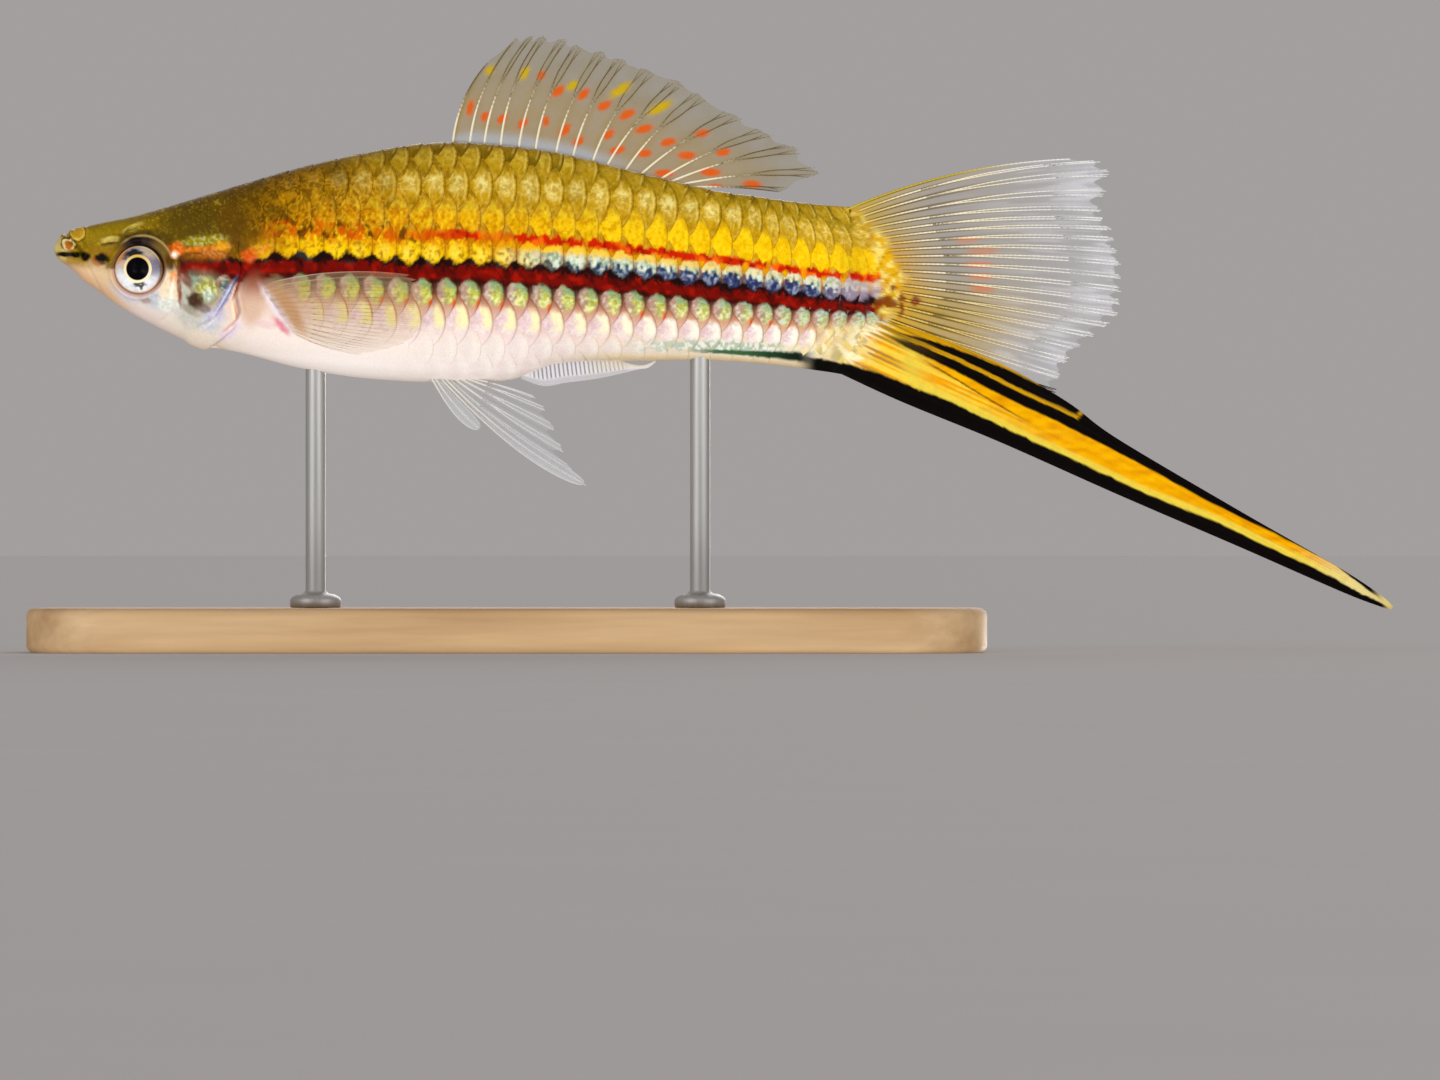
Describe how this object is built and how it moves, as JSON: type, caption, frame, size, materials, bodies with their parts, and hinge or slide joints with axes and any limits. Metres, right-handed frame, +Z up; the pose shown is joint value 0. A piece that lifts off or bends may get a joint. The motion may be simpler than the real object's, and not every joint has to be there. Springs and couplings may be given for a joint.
{
  "type": "swordtail fish display model",
  "caption": "Still life-size model of a male swordtail fish with raised dorsal fin and long sword, held swimming above a flat base on slim rods.",
  "frame": {"origin": "centre of the stand base's underside, which rests on a table", "axes": "+Z up, -X towards the snout, +X towards the tip of the sword, -Y to the fish's left side"},
  "size_m": [0.1227, 0.034, 0.0556],
  "materials": {
    "skin": "wet-looking scaled skin, olive gold back with red and dark bands, pale belly",
    "gill_cover": "pearly gill cover, pale pink and silver with a brown patch",
    "eye": "polished, silver iris with a thin gold ring and black pupil",
    "fin": "clear membrane over cream rays, satin",
    "sword": "bright yellow with black edges, satin",
    "stand_base": "pale oiled wood",
    "stand_rod": "brushed steel rod with a turned collar"
  },
  "bodies": {
    "root": {"lower_jaw": "skin", "head": "skin", "torso": "skin", "tail_stem": "skin", "gill_cover_left": "gill_cover", "gill_cover_right": "gill_cover", "eye_left": "eye", "eye_right": "eye", "dorsal_fin": "fin", "caudal_fin": "fin", "sword": "sword", "gonopodium": "fin", "pectoral_fin_left": "fin", "pectoral_fin_right": "fin", "pelvic_fin_left": "fin", "pelvic_fin_right": "fin", "stand_base": "stand_base", "stand_rod_front": "stand_rod", "stand_rod_rear": "stand_rod"}
  },
  "joints": []
}
